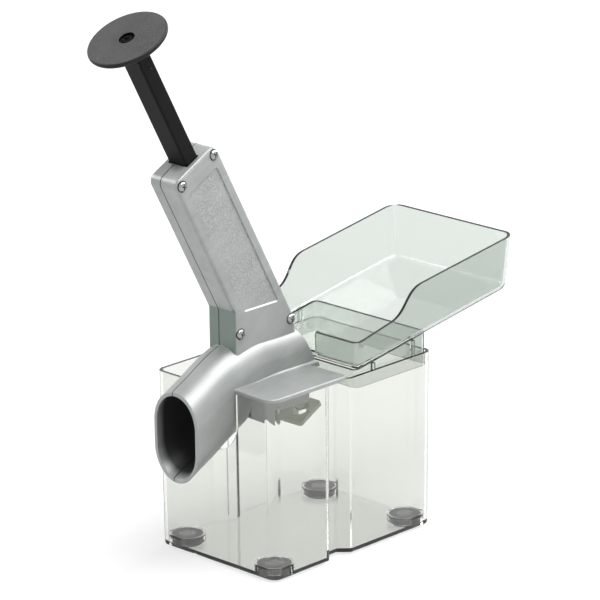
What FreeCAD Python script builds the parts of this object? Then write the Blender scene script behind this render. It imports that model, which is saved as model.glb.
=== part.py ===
import FreeCAD, Part
import math
import os

os.makedirs("parts", exist_ok=True)

Vector = FreeCAD.Vector

# All sizes are in millimetres. X runs along the container from the chute to the
# tray, Y across it and Z up. The origin lies on the floor, under the middle of
# the whole object's footprint.

# Container: a clear box with a groove down each long wall
container_length = 128.0
container_width = 90.8
container_height = 102.0
container_draft = 0.7
container_wall = 2.0
container_floor = 2.2
container_corner = 6.0
container_base_round = 1.0
groove_centre = -11.5
groove_mouth = 18.0
groove_bottom = 7.0
groove_depth = 5.8
groove_round = 1.4
notch_side_gap = 1.0
notch_bottom_gap = 3.0

# Rubber feet pressed into bosses in the four corners of the base
foot_radius = 8.8
foot_standout = 1.4
foot_seat_depth = 4.8
foot_gap = 0.15
foot_inset = 11.2
foot_edge = 0.8
foot_core_radius = 4.6
foot_core_depth = 2.0
boss_wall = 1.4

# Head: the tower and the plunger lean back over the chute by this angle
lean = 28.0
bar_across = 37.2
tower_left = 18.0
tower_right = 52.8
tower_top = 246.0
tower_half_depth = 10.85
tower_foot_x = -56.3
tower_root_z = 114.0
tower_corner = 5.0
tower_edge_round = 2.2
tower_kink_round = 3.0
tower_wall = 2.2
tower_end_wall = 2.6
seam_y = 2.15

# Recessed panel on the tower's front face
panel_depth = 0.6
panel_side_margin = 5.6
panel_top_margin = 11.5
panel_sill_z = 144.2
panel_corner = 1.2

# Chute: a channel of oval section that runs square to the plunger
chute_low = 91.5
chute_height = 45.5
chute_half_width = 16.7
chute_wall = 1.9
chute_mouth_x = -92.4
chute_neck_half_width = 14.7
chute_neck_start_x = -61.0
chute_neck_end_x = -50.0
chute_keel_half_width = 14.2
chute_keel_drop = 0.4
chute_keel_start_x = -55.0

# Chamber: the level tube that the fruit rolls into, over the container's rim.
# The chute's crown bends level into it.
chamber_radius = 15.2
chamber_centre_z = 112.5
chamber_side_height = 6.0
chamber_root_half_width = 14.4
chamber_fillet = 2.6
chamber_wall = 2.2
chamber_end = 50.0
chamber_start_x = -50.0
bend_reach = 14.0

# Flange that carries the head on the container's rim
flange_length = 59.0
flange_thickness = 2.4
flange_free_corner = 3.0
flange_edge_round = 0.9

# Well under the chamber: a hood all round, open in front above the seat, and a
# rear cheek that carries the seat plate from behind
well_half_length = 12.5
well_half_width = 12.4
well_wall = 2.0
hood_low_z = 83.0
hood_right_x = -4.8
cheek_thickness = 2.1
cheek_heel_across = -3.0
cheek_heel_along = 97.0
cheek_knee_across = 9.5
cheek_knee_along = 78.8
cheek_edge_round = 0.8
rear_cheek_low_across = 21.0
seat_top = 62.0
seat_thickness = 2.4
seat_low_across = 27.6
seat_high_across = 46.8
seat_front_y = -7.0
seat_rear_y = 20.4
seat_corner = 1.5
seat_dish_radius = 11.5
seat_dish_depth = 1.2
seat_hole_gap = 0.2
slit_reach = 5.6
slit_width = 1.0
slit_arms = 4
clamp_thickness = 1.4
clamp_front_y = 12.4
clamp_corner = 0.8
seat_boss_radius = 2.8
seat_boss_top = 103.0
seat_screw_across = (31.4, 43.0)
seat_screw_y = 17.0
seat_screw_shank = 1.2
seat_screw_head = 2.4
seat_screw_head_height = 1.5
seat_screw_length = 9.0
seat_pilot_spare = 1.0

# Housing screws: pan heads on the front face
screw_shank = 1.45
screw_head = 2.8
screw_head_height = 1.8
screw_head_round = 1.0
screw_reach = 7.0
screw_boss = 3.4
screw_hole_gap = 0.2
screw_bite_gap = 0.05
upper_screw_drop = 4.2
upper_screw_margin = 4.0
lower_left_screw_x = -52.6
lower_left_screw_z = 132.0
lower_right_screw_margin = 3.3
lower_right_screw_along = 122.8
driver_recess = 0.7
driver_arm = 2.9
driver_width = 0.7

# Plunger: thumb plate, bar, crosshead and pitting pin
bar_thickness = 9.2
bar_width = 14.0
bar_corner = 1.2
bar_gap = 0.3
bar_socket_depth = 7.0
bar_socket_gap = 0.05
plate_radius = 22.4
plate_thickness = 2.8
plate_edge_round = 1.2
plate_top = 328.8
plate_recess_radius = 4.5
plate_recess_depth = 1.9
plate_screw_shank = 1.5
plate_screw_head = 3.4
plate_screw_head_height = 1.3
plate_screw_length = 12.0
crosshead_height = 11.0
crosshead_side_gap = 0.8
crosshead_face_gap = 0.5
crosshead_stop_gap = 0.15
crosshead_web = 7.0
crosshead_corner = 1.5
pin_radius = 2.3
pin_tip = 121.5
pin_socket_depth = 3.4
pin_flute_length = 15.0
pin_flute_radius = 1.3
pin_flute_bite = 0.87
pin_flutes = 4
pin_cup = 0.9
cross_pin_radius = 1.5
cross_pin_rise = 7.6
lock_pin_radius = 0.75
lock_pin_rise = 1.9
plunger_stroke = 65.0

# Stripper plate, spring and washer in the foot of the tower
cavity_floor = 127.0
stripper_low = 124.4
stripper_thickness = 1.8
stripper_half_length = 10.0
stripper_groove = 1.0
stripper_gap = 0.1
stripper_hole_gap = 0.6
stripper_throat = 8.0
chute_ceiling_near = 122.8
chute_ceiling_end = 118.0
ceiling_step_low = 8.0
ceiling_step_high = 14.0
washer_radius = 7.6
washer_thickness = 1.0
washer_hole_gap = 0.5
spring_wire = 0.9
spring_mean_radius = 5.2
spring_turns = 16
spring_seat_gap = 0.1
spring_arcs_per_turn = 8
spring_gap_samples = 40

# Tray: clear, with a sloping floor, a low end and a high end
tray_start_x = 3.6
tray_end_x = 129.2
tray_lift_over_container = 1.0
tray_low_z = container_height + tray_lift_over_container
tray_slope = 9.2
tray_half_width = 43.7
tray_side_draft = 4.0
tray_end_draft = 4.0
tray_start_draft = 1.5
tray_wall = 1.8
tray_floor = 2.0
tray_start_corner = 5.0
tray_end_corner = 8.0
tray_base_round = 4.6
tray_low_rim_rise = 16.9
tray_low_rim_z = tray_low_z + tray_low_rim_rise
tray_low_rim_slope = 13.0
tray_high_rim_slope = 8.5
tray_step_start_x = 30.0
tray_step_end_x = 54.5
tray_step_rise = 17.8
tray_step_hold = 0.55
tray_gate_half_width = 12.5
skirt_length = 57.8
skirt_depth = 7.7
skirt_gap = 0.5
skirt_wall = 1.6
skirt_corner = 3.6
lug_width = 1.8
lug_places = (12.0, 44.0)
lug_cover = 1.5

# Allowance by which cutting shapes run past the pieces that they cut
over = 5.0
far = 200.0

cos_lean = math.cos(math.radians(lean))
sin_lean = math.sin(math.radians(lean))


def head_point(across, along, y=0.0):
    """Point given by its place across and along the leaning plunger."""
    return Vector(across * cos_lean - along * sin_lean, y,
                  across * sin_lean + along * cos_lean)


def tilt(shape):
    """Turn a shape drawn upright (X across, Z along) into the plunger's lean."""
    turned = shape.copy()
    turned.rotate(Vector(0, 0, 0), Vector(0, 1, 0), -lean)
    return turned


def outline(points, radii, place):
    """Closed wire through the points, each corner rounded by its radius."""
    corners = [Vector(u, v, 0) for u, v in points]
    arcs = []
    for index, corner in enumerate(corners):
        back = (corners[index - 1] - corner).normalize()
        ahead = (corners[(index + 1) % len(corners)] - corner).normalize()
        half_angle = back.getAngle(ahead) / 2
        radius = radii[index]
        if radius == 0:
            arcs.append((corner, None, corner))
            continue
        reach = radius / math.tan(half_angle)
        bisector = (back + ahead).normalize()
        middle = corner + bisector * (radius / math.sin(half_angle) - radius)
        arcs.append((corner + back * reach, middle, corner + ahead * reach))
    edges = []
    for index, (start, middle, end) in enumerate(arcs):
        if middle is not None:
            edges.append(Part.Arc(place(start), place(middle), place(end)).toShape())
        following = arcs[(index + 1) % len(arcs)][0]
        if (following - end).Length > 1e-6:
            edges.append(Part.LineSegment(place(end), place(following)).toShape())
    return Part.Wire(edges)


def level_outline(points, radii, z):
    """Rounded outline in a level plane."""
    return outline(points, radii, lambda p: Vector(p.x, p.y, z))


def side_prism(points, radii, y_low, y_high):
    """Prism whose outline is drawn in the XZ plane, from one Y to another."""
    wire = outline(points, radii, lambda p: Vector(p.x, y_low, p.y))
    return Part.Face(wire).extrude(Vector(0, y_high - y_low, 0))


def block(x_range, y_range, z_range):
    """Box between two values on each axis."""
    size = [high - low for low, high in (x_range, y_range, z_range)]
    corner = Vector(x_range[0], y_range[0], z_range[0])
    return Part.makeBox(size[0], size[1], size[2], corner)


def turned(profile, centre, axis=Vector(0, 0, 1)):
    """Solid of revolution of a closed (radius, height) profile about an axis."""
    points = [Vector(radius, 0, height) for radius, height in profile]
    face = Part.Face(Part.makePolygon(points + points[:1]))
    solid = face.revolve(Vector(0, 0, 0), Vector(0, 0, 1), 360)
    solid.Placement = FreeCAD.Placement(centre, FreeCAD.Rotation(Vector(0, 0, 1), axis))
    return solid


def edges_where(shape, test):
    """Edges whose every vertex passes a test on its point."""
    return [edge for edge in shape.Edges if all(test(v.Point) for v in edge.Vertexes)]


def container_outline(inset, z):
    """Outline of the box with its two grooves, inset from the outer face."""
    lean_in = container_draft * (1 - z / container_height)
    half_length = container_length / 2 - lean_in - inset
    half_width = container_width / 2 - lean_in - inset
    side = math.atan2(groove_depth, (groove_mouth - groove_bottom) / 2)
    widen = inset * math.tan(side / 2)
    mouth = groove_mouth / 2 + widen
    bottom = groove_bottom / 2 + widen
    corner = container_corner - inset
    points = []
    radii = []
    for turn in (-1, 1):
        points.append((turn * half_length, turn * half_width))
        radii.append(corner)
        for offset, depth in ((turn * mouth, 0), (turn * bottom, groove_depth),
                              (-turn * bottom, groove_depth), (-turn * mouth, 0)):
            points.append((groove_centre + offset, turn * (half_width - depth)))
            radii.append(groove_round)
        points.append((-turn * half_length, turn * half_width))
        radii.append(corner)
    return level_outline(points, radii, z)


def foot_places():
    """Centres of the four feet, in the container's own frame."""
    x = container_length / 2 - container_draft - foot_inset
    y = container_width / 2 - container_draft - foot_inset
    return {"front_left": (-x, -y), "front_right": (x, -y),
            "rear_left": (-x, y), "rear_right": (x, y)}


def chute_underside_z(x):
    """Height of the chute's underside above the container's base at a given X."""
    return (chute_low + x * sin_lean) / cos_lean


def make_container():
    outer = Part.makeLoft([container_outline(0, 0),
                           container_outline(0, container_height)], True, True)
    base_edges = edges_where(outer, lambda p: abs(p.z) < 1e-3)
    outer = outer.makeFillet(container_base_round, base_edges)
    inner = Part.makeLoft([container_outline(container_wall, container_floor),
                           container_outline(container_wall, container_height)], True, True)
    inner = inner.fuse(inner.translated(Vector(0, 0, over)))
    shell = outer.cut(inner)
    seat_radius = foot_radius + foot_gap
    for x, y in foot_places().values():
        boss = Part.makeCylinder(seat_radius + boss_wall, foot_seat_depth + boss_wall,
                                 Vector(x, y, 0))
        shell = shell.fuse(boss.common(outer))
    for x, y in foot_places().values():
        recess = Part.makeCylinder(seat_radius, foot_seat_depth + over, Vector(x, y, -over))
        shell = shell.cut(recess)
    half_width = chute_half_width + notch_side_gap
    outside = -container_length / 2
    centre_z = chute_underside_z(outside) - notch_bottom_gap + half_width
    depth = container_wall + container_draft + over
    start = outside - over
    notch = block((start, start + over + depth), (-half_width, half_width), (centre_z, far))
    rounded = Part.makeCylinder(half_width, over + depth, Vector(start, 0, centre_z),
                                Vector(1, 0, 0))
    return shell.cut(notch.fuse(rounded)).removeSplitter()


def make_foot(place):
    x, y = place
    profile = [(0, -foot_standout), (foot_radius - foot_edge, -foot_standout),
               (foot_radius, -foot_standout + foot_edge), (foot_radius, foot_seat_depth),
               (foot_core_radius, foot_seat_depth),
               (foot_core_radius, foot_seat_depth - foot_core_depth),
               (0, foot_seat_depth - foot_core_depth)]
    return turned(profile, Vector(x, y, 0))


def tower_outline():
    """Outline of the tower from the side, as (x, z) points with corner radii."""
    right_line = lambda z: (tower_right - z * sin_lean) / cos_lean
    end_line = lambda z: (chamber_end - z * sin_lean) / cos_lean
    shoulder_z = chamber_centre_z + chamber_radius
    kink_z = (tower_left - tower_foot_x * cos_lean) / sin_lean
    top_left = head_point(tower_left, tower_top)
    top_right = head_point(tower_right, tower_top)
    points = [(top_left.x, top_left.z),
              (tower_foot_x, kink_z),
              (tower_foot_x, tower_root_z),
              (end_line(tower_root_z), tower_root_z),
              (end_line(shoulder_z - chamber_fillet), shoulder_z - chamber_fillet),
              (right_line(shoulder_z + over), shoulder_z + over),
              (top_right.x, top_right.z)]
    radii = [tower_corner, tower_kink_round, 0, 0, 0, tower_kink_round, tower_corner]
    return points, radii


def make_tower():
    points, radii = tower_outline()
    tower = side_prism(points, radii, -tower_half_depth, tower_half_depth)
    on_face = lambda p: abs(abs(p.y) - tower_half_depth) < 1e-3
    above_root = lambda edge: edge.BoundBox.ZMax > tower_root_z + 1e-3
    rims = [edge for edge in edges_where(tower, on_face) if above_root(edge)]
    return tower.makeFillet(tower_edge_round, rims)


def oval_channel(inset, start, end):
    """Channel of the chute's oval section, drawn upright along X."""
    half_width = chute_half_width - inset
    low = chute_low + inset
    high = chute_low + chute_height - inset
    points = [(-half_width, low), (half_width, low), (half_width, high), (-half_width, high)]
    wire = outline(points, [half_width - 1e-3] * 4, lambda p: Vector(start, p.x, p.y))
    return Part.Face(wire).extrude(Vector(end - start, 0, 0))


def neck_plan(inset):
    """Plan shape that draws the chute in where it meets the chamber."""
    wide = chute_half_width - inset + over
    neck = chute_neck_half_width - inset
    shoulder = chute_half_width - inset
    points = [(-far, -wide), (chute_neck_start_x - over, -wide),
              (chute_neck_start_x, -shoulder), (chute_neck_end_x, -neck), (far, -neck),
              (far, neck), (chute_neck_end_x, neck), (chute_neck_start_x, shoulder),
              (chute_neck_start_x - over, wide), (-far, wide)]
    radii = [0, 0, 0, over, 0, 0, over, 0, 0, 0]
    return Part.Face(level_outline(points, radii, 0)).extrude(Vector(0, 0, far))


def crown_section(centre, slope, half_width, side_height):
    """Upright oval section whose crown is centred on a point, leaning by a slope."""
    angle = math.radians(slope)
    up = Vector(-math.sin(angle), 0, math.cos(angle))
    side = Vector(0, half_width, 0)
    bottom = centre - up * side_height
    diagonal = math.sqrt(0.5)
    edges = []
    for base, way, turn in ((centre, up, 1), (bottom, -up, -1)):
        points = [base + side * turn]
        for across, rise in ((diagonal, diagonal), (0, 1), (-diagonal, diagonal), (-1, 0)):
            points.append(base + side * (turn * across) + way * (half_width * rise))
        edges.append(Part.Arc(points[0], points[1], points[2]).toShape())
        edges.append(Part.Arc(points[2], points[3], points[4]).toShape())
        edges.append(Part.LineSegment(points[4], (bottom if turn > 0 else centre)
                                      - side * turn).toShape())
    return Part.Wire(edges)


def make_elbow():
    """Chute and chamber as one skin: an oval that bends level and turns round."""
    crown_along = chute_low + chute_height - chute_half_width
    straight_side = chute_height - 2 * chute_half_width
    slope_x = (chamber_centre_z * cos_lean - crown_along) / sin_lean
    corner = Vector(slope_x, 0, chamber_centre_z)
    uphill = Vector(cos_lean, 0, sin_lean)
    sections = []
    for reach in range(7, 0, -1):
        sections.append(crown_section(corner - uphill * (bend_reach * reach), lean,
                                      chute_half_width, straight_side))
    half = math.radians(lean / 2)
    sag = bend_reach * math.tan(half / 2)
    middle = corner + Vector(math.sin(half), 0, -math.cos(half)) * sag
    sections.append(crown_section(middle, lean / 2, (chute_half_width + chamber_radius) / 2,
                                  (straight_side + chamber_side_height) / 2))
    for reach in (1, 2, 3, 5):
        sections.append(crown_section(corner + Vector(bend_reach * reach, 0, 0), 0,
                                      chamber_radius, chamber_side_height))
    return Part.makeLoft(sections, True, False)


def make_chute():
    """The chute's skin outside, and its narrower keel inside the container."""
    skin = make_elbow()
    skin = skin.cut(block((-far, chute_mouth_x), (-far, far), (-far, far)))
    skin = skin.cut(tilt(block((chamber_end, far), (-far, far), (-far, far))))
    back = bar_across - well_half_length
    under = block((chute_neck_end_x, far), (-far, far), (0, container_height))
    skin = skin.cut(under)
    low = chute_low - chute_keel_drop
    side = chute_keel_half_width
    top = chute_low + chute_height / 2
    points = [(-side, low), (side, low), (side, top), (-side, top)]
    wire = outline(points, [side - 1e-3, side - 1e-3, 0, 0], lambda p: Vector(-far, p.x, p.y))
    keel = tilt(Part.Face(wire).extrude(Vector(far + back, 0, 0)))
    keel = keel.cut(block((-2 * far, chute_keel_start_x), (-far, far), (-far, far)))
    top_z = container_height + flange_thickness / 2
    return skin, keel.cut(block((-far, far), (-far, far), (top_z, far)))


def make_chamber_root():
    """Foot of the chamber: sides that flare into the flange with a hollow curve."""
    base = container_height
    top = base + flange_thickness
    flare = chamber_root_half_width + chamber_fillet
    bow = chamber_fillet * (1 - math.sqrt(0.5))
    root = []
    for side in (-1, 1):
        waist = Vector(chamber_start_x, side * chamber_root_half_width, top + chamber_fillet)
        middle = Vector(chamber_start_x, side * (chamber_root_half_width + bow), top + bow)
        toe = Vector(chamber_start_x, side * flare, top)
        foot = Vector(chamber_start_x, side * flare, base)
        inner_top = Vector(chamber_start_x, side * chamber_fillet, top + chamber_fillet)
        inner_foot = Vector(chamber_start_x, side * chamber_fillet, base)
        edges = [Part.Arc(waist, middle, toe).toShape(),
                 Part.LineSegment(toe, foot).toShape(),
                 Part.LineSegment(foot, inner_foot).toShape(),
                 Part.LineSegment(inner_foot, inner_top).toShape(),
                 Part.LineSegment(inner_top, waist).toShape()]
        root.append(Part.Face(Part.Wire(edges)).extrude(Vector(far / 2, 0, 0)))
    beyond = tilt(block((chamber_end, far), (-far, far), (-far, far)))
    return [part.cut(beyond) for part in root]


def make_flange():
    low_x = -container_length / 2
    high_x = low_x + flange_length
    half_width = container_width / 2
    points = [(low_x, -half_width), (high_x, -half_width), (high_x, half_width),
              (low_x, half_width)]
    radii = [container_corner, flange_free_corner, flange_free_corner, container_corner]
    wire = level_outline(points, radii, container_height)
    plate = Part.Face(wire).extrude(Vector(0, 0, flange_thickness))
    top = container_height + flange_thickness
    rim = edges_where(plate, lambda p: abs(p.z - top) < 1e-3)
    return plate.makeFillet(flange_edge_round, rim)


def make_well():
    """Hood, front web, rear cheek and seat bosses under the flange."""
    outer = well_half_width + cheek_thickness
    roof = container_height + flange_thickness / 2
    back = bar_across - well_half_length
    heel = head_point(cheek_heel_across, cheek_heel_along)
    knee = head_point(cheek_knee_across, cheek_knee_along)
    front = [(heel.x, heel.z), (knee.x, knee.z), (knee.x, hood_low_z),
             (hood_right_x, hood_low_z), (hood_right_x, roof), (heel.x, roof)]
    rounds = [0, cheek_edge_round, 0, cheek_edge_round, 0, 0]
    parts = [side_prism(front, rounds, -outer, -well_half_width)]
    low_left = head_point(rear_cheek_low_across, seat_top)
    low_right = head_point(seat_high_across, seat_top)
    wall_top = head_point(seat_high_across, seat_boss_top)
    rear = [(heel.x, heel.z), (knee.x, knee.z), (low_left.x, low_left.z),
            (low_right.x, low_right.z), (wall_top.x, wall_top.z), (heel.x, wall_top.z)]
    parts.append(side_prism(rear, [0, cheek_edge_round, cheek_edge_round, 0, 0, 0],
                            well_half_width, outer))
    hood_along = (hood_low_z - back * sin_lean) / cos_lean
    wall = block((back - well_wall, back), (-outer, outer), (hood_along, seat_boss_top))
    parts.append(tilt(wall))
    for across in seat_screw_across:
        boss = Part.makeCylinder(seat_boss_radius, seat_boss_top - seat_top,
                                 Vector(across, seat_screw_y, seat_top))
        rib = block((across - cheek_thickness / 2, across + cheek_thickness / 2),
                    (outer - cheek_thickness / 2, seat_screw_y), (seat_top, seat_boss_top))
        parts += [tilt(boss), tilt(rib)]
    body = parts[0].multiFuse(parts[1:])
    return body.cut(block((-far, far), (-far, far), (roof, far)))


def screw_axes():
    """Places of the four housing screws as points in the XZ plane."""
    upper = tower_top - upper_screw_drop
    return [head_point(tower_left + upper_screw_margin, upper),
            head_point(tower_right - upper_screw_margin, upper),
            Vector(lower_left_screw_x, 0, lower_left_screw_z),
            head_point(tower_right - lower_right_screw_margin, lower_right_screw_along)]


def housing_hollow():
    """Everything that is hollow inside the two housing halves."""
    back = bar_across - well_half_length
    ceiling = chute_low + chute_height
    runs_in = back + over
    channel = oval_channel(chute_wall, -far, runs_in)
    limit = [(-far, 0), (runs_in, 0), (runs_in, chute_ceiling_end),
             (ceiling_step_high, chute_ceiling_near), (ceiling_step_low, ceiling),
             (-far, ceiling)]
    channel = channel.common(side_prism(limit, [0] * len(limit), -far, far))
    channel = tilt(channel).common(neck_plan(chute_wall))
    bore = chamber_radius - chamber_wall
    flange_top = container_height + flange_thickness
    chamber_length = far / 2
    round_part = Part.makeCylinder(bore, chamber_length, Vector(chute_neck_end_x, 0,
                                   chamber_centre_z), Vector(1, 0, 0))
    below = block((chute_neck_end_x, chute_neck_end_x + chamber_length), (-bore, bore),
                  (flange_top - flange_thickness - over, chamber_centre_z))
    level_bore = round_part.fuse(below)
    floor_cut = block((-far, far), (-far, far), (-far, flange_top))
    level_bore = level_bore.cut(floor_cut)
    well = block((back, back + 2 * well_half_length), (-well_half_width, well_half_width),
                 (seat_top - over, chamber_centre_z))
    well = tilt(well).cut(block((-far, far), (-far, far), (chamber_centre_z, far)))
    cavity_depth = tower_half_depth - tower_wall
    cavity = block((tower_left + tower_wall, tower_right - tower_wall),
                   (-cavity_depth, cavity_depth),
                   (cavity_floor, tower_top - tower_end_wall))
    throat = Part.makeCylinder(stripper_throat, cavity_floor - chamber_centre_z,
                               Vector(bar_across, 0, chamber_centre_z))
    groove_length = stripper_half_length + stripper_gap
    groove_depth_y = cavity_depth + stripper_groove + stripper_gap
    groove = block((bar_across - groove_length, bar_across + groove_length),
                   (-groove_depth_y, groove_depth_y),
                   (stripper_low, stripper_low + stripper_thickness + stripper_gap))
    opened = block((bar_across - groove_length, bar_across + groove_length),
                   (-cavity_depth, cavity_depth), (stripper_low, cavity_floor + over))
    half_thickness = bar_thickness / 2 + bar_gap
    half_width = bar_width / 2 + bar_gap
    bar_way = block((bar_across - half_thickness, bar_across + half_thickness),
                    (-half_width, half_width), (cavity_floor + over, tower_top + over))
    upright = cavity.multiFuse([throat, groove, opened, bar_way])
    for place in screw_axes()[:2]:
        across = place.x * cos_lean + place.z * sin_lean
        along = place.z * cos_lean - place.x * sin_lean
        boss = Part.makeCylinder(screw_boss, 2 * far, Vector(across, -far, along),
                                 Vector(0, 1, 0))
        upright = upright.cut(boss)
    return [channel, level_bore, well, tilt(upright)]


def make_panel():
    """The shallow recess in the tower's front face."""
    left = tower_left + panel_side_margin
    right = tower_right - panel_side_margin
    top = tower_top - panel_top_margin
    corners = [head_point(left, top),
               Vector((left - panel_sill_z * sin_lean) / cos_lean, 0, panel_sill_z),
               Vector((right - panel_sill_z * sin_lean) / cos_lean, 0, panel_sill_z),
               head_point(right, top)]
    face = -tower_half_depth
    return side_prism([(p.x, p.z) for p in corners], [panel_corner] * 4,
                      face - over, face + panel_depth)


def make_housing():
    """The two cast halves, parted on the seam."""
    skin, keel = make_chute()
    solid = skin.multiFuse([make_tower(), keel, *make_chamber_root(), make_flange(),
                            make_well()])
    for hollow in housing_hollow():
        solid = solid.cut(hollow)
    solid = solid.cut(make_panel())
    front_reach = tower_half_depth + over
    for place in screw_axes():
        through = Part.makeCylinder(screw_shank + screw_hole_gap, front_reach + seam_y,
                                    Vector(place.x, -front_reach, place.z), Vector(0, 1, 0))
        bite = Part.makeCylinder(screw_shank + screw_bite_gap, screw_reach,
                                 Vector(place.x, seam_y, place.z), Vector(0, 1, 0))
        solid = solid.cut(through).cut(bite)
    for across in seat_screw_across:
        pilot = Part.makeCylinder(seat_screw_shank + screw_bite_gap,
                                  seat_screw_length + seat_pilot_spare,
                                  Vector(across, seat_screw_y, seat_top - seat_pilot_spare))
        solid = solid.cut(tilt(pilot))
    front = solid.cut(block((-far, far), (seam_y, far), (-far, 2 * far)))
    rear = solid.cut(block((-far, far), (-far, seam_y), (-far, 2 * far)))
    return front.removeSplitter(), rear.removeSplitter()


def pan_screw(shank, head, head_height, length, edge):
    """Screw with its head above Z = 0 and its shank below, with a cross recess."""
    profile = [(0, -length), (shank, -length), (shank, 0), (head, 0),
               (head, head_height - edge), (head - edge, head_height), (0, head_height)]
    screw = turned(profile, Vector(0, 0, 0))
    for angle in (0, 90):
        slot = Part.makeBox(driver_arm * head / screw_head, driver_width, driver_recess + over)
        slot.translate(Vector(-driver_arm * head / screw_head / 2, -driver_width / 2,
                              head_height - driver_recess))
        slot.rotate(Vector(0, 0, 0), Vector(0, 0, 1), angle)
        screw = screw.cut(slot)
    return screw


def make_housing_screws():
    screws = []
    for index, place in enumerate(screw_axes()):
        length = tower_half_depth + seam_y + screw_reach - 2 * screw_bite_gap
        screw = pan_screw(screw_shank, screw_head, screw_head_height, length,
                          screw_head_round)
        turn = FreeCAD.Rotation(Vector(0, 0, 1), Vector(0, -1, 0))
        screw.Placement = FreeCAD.Placement(
            Vector(place.x, -tower_half_depth, place.z), turn)
        screws.append(screw)
    return Part.makeCompound(screws)


def make_seat():
    """Elastic seat plate with a dish, a hole and slits for the stone to pass."""
    low = seat_top - seat_thickness
    points = [(seat_low_across, seat_front_y), (seat_high_across, seat_front_y),
              (seat_high_across, seat_rear_y), (seat_low_across, seat_rear_y)]
    wire = level_outline(points, [seat_corner] * 4, low)
    plate = Part.Face(wire).extrude(Vector(0, 0, seat_thickness))
    dish = Part.makeSphere(seat_dish_radius, Vector(bar_across, 0, seat_top
                                                    + seat_dish_radius - seat_dish_depth))
    hole = Part.makeCylinder(pin_radius + seat_hole_gap, seat_thickness + 2 * over,
                             Vector(bar_across, 0, low - over))
    plate = plate.cut(dish).cut(hole)
    for arm in range(slit_arms):
        slit = Part.makeBox(slit_reach, slit_width, seat_thickness + 2 * over,
                            Vector(0, -slit_width / 2, low - over))
        slit.rotate(Vector(0, 0, 0), Vector(0, 0, 1), arm * 360 / slit_arms)
        slit.translate(Vector(bar_across, 0, 0))
        plate = plate.cut(slit)
    return plate.cut(seat_screw_holes())


def seat_screw_holes():
    """Clearance holes for the two screws under the seat, drawn upright."""
    holes = [Part.makeCylinder(seat_screw_shank + screw_hole_gap, far,
                               Vector(across, seat_screw_y, 0))
             for across in seat_screw_across]
    return Part.makeCompound(holes)


def make_seat_clamp():
    high = seat_top - seat_thickness
    points = [(seat_low_across, clamp_front_y), (seat_high_across, clamp_front_y),
              (seat_high_across, seat_rear_y), (seat_low_across, seat_rear_y)]
    wire = level_outline(points, [clamp_corner] * 4, high - clamp_thickness)
    strip = Part.Face(wire).extrude(Vector(0, 0, clamp_thickness))
    return strip.cut(seat_screw_holes())


def make_seat_screws():
    under = seat_top - seat_thickness - clamp_thickness
    screws = []
    for across in seat_screw_across:
        length = seat_thickness + clamp_thickness + seat_screw_length - screw_hole_gap
        screw = pan_screw(seat_screw_shank, seat_screw_head, seat_screw_head_height, length,
                          seat_screw_head_height / 2)
        flip = FreeCAD.Rotation(Vector(1, 0, 0), 180)
        screw.Placement = FreeCAD.Placement(Vector(across, seat_screw_y, under), flip)
        screws.append(screw)
    return Part.makeCompound(screws)


def crosshead_top():
    """The crosshead stops under the two upper screw bosses."""
    return tower_top - upper_screw_drop - screw_boss - crosshead_stop_gap


def crosshead_low():
    return crosshead_top() - crosshead_height


def make_crosshead():
    top = crosshead_top()
    low = crosshead_low()
    left = tower_left + tower_wall + crosshead_side_gap
    right = tower_right - tower_wall - crosshead_side_gap
    half_width = tower_half_depth - tower_wall - crosshead_face_gap
    points = [(left, -half_width), (right, -half_width), (right, half_width),
              (left, half_width)]
    wire = level_outline(points, [crosshead_corner] * 4, low)
    body = Part.Face(wire).extrude(Vector(0, 0, crosshead_height))
    for side, edge in ((-1, left), (1, right)):
        inner = bar_across + side * (bar_thickness / 2 + crosshead_web / 2)
        web = crosshead_web / 2
        x_range = sorted((edge + side * over, inner))
        for y_range in ((-far, -web), (web, far)):
            body = body.cut(block(x_range, y_range, (low + crosshead_web / 2, top + over)))
    half_thickness = bar_thickness / 2 + bar_socket_gap
    half_bar = bar_width / 2 + bar_socket_gap
    socket = block((bar_across - half_thickness, bar_across + half_thickness),
                   (-half_bar, half_bar), (top - bar_socket_depth, top + over))
    body = body.cut(socket)
    pin_bore = Part.makeCylinder(pin_radius + bar_socket_gap, pin_socket_depth + over,
                                 Vector(bar_across, 0, low - over))
    cross_bore = Part.makeCylinder(cross_pin_radius, 2 * far,
                                   Vector(-far, 0, low + cross_pin_rise), Vector(1, 0, 0))
    lock_bore = Part.makeCylinder(lock_pin_radius, 2 * far,
                                  Vector(bar_across, -far, low + lock_pin_rise),
                                  Vector(0, 1, 0))
    return body.cut(pin_bore).cut(cross_bore).cut(lock_bore)


def make_bar():
    low = crosshead_top() - bar_socket_depth
    high = plate_top - plate_thickness
    half_thickness = bar_thickness / 2
    half_width = bar_width / 2
    points = [(bar_across - half_thickness, -half_width),
              (bar_across + half_thickness, -half_width),
              (bar_across + half_thickness, half_width),
              (bar_across - half_thickness, half_width)]
    wire = level_outline(points, [bar_corner] * 4, low)
    bar = Part.Face(wire).extrude(Vector(0, 0, high - low))
    pilot = Part.makeCylinder(plate_screw_shank + screw_bite_gap, plate_screw_length,
                              Vector(bar_across, 0, high - plate_screw_length))
    cross_bore = Part.makeCylinder(cross_pin_radius, 2 * far,
                                   Vector(-far, 0, crosshead_low() + cross_pin_rise),
                                   Vector(1, 0, 0))
    return bar.cut(pilot).cut(cross_bore)


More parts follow.
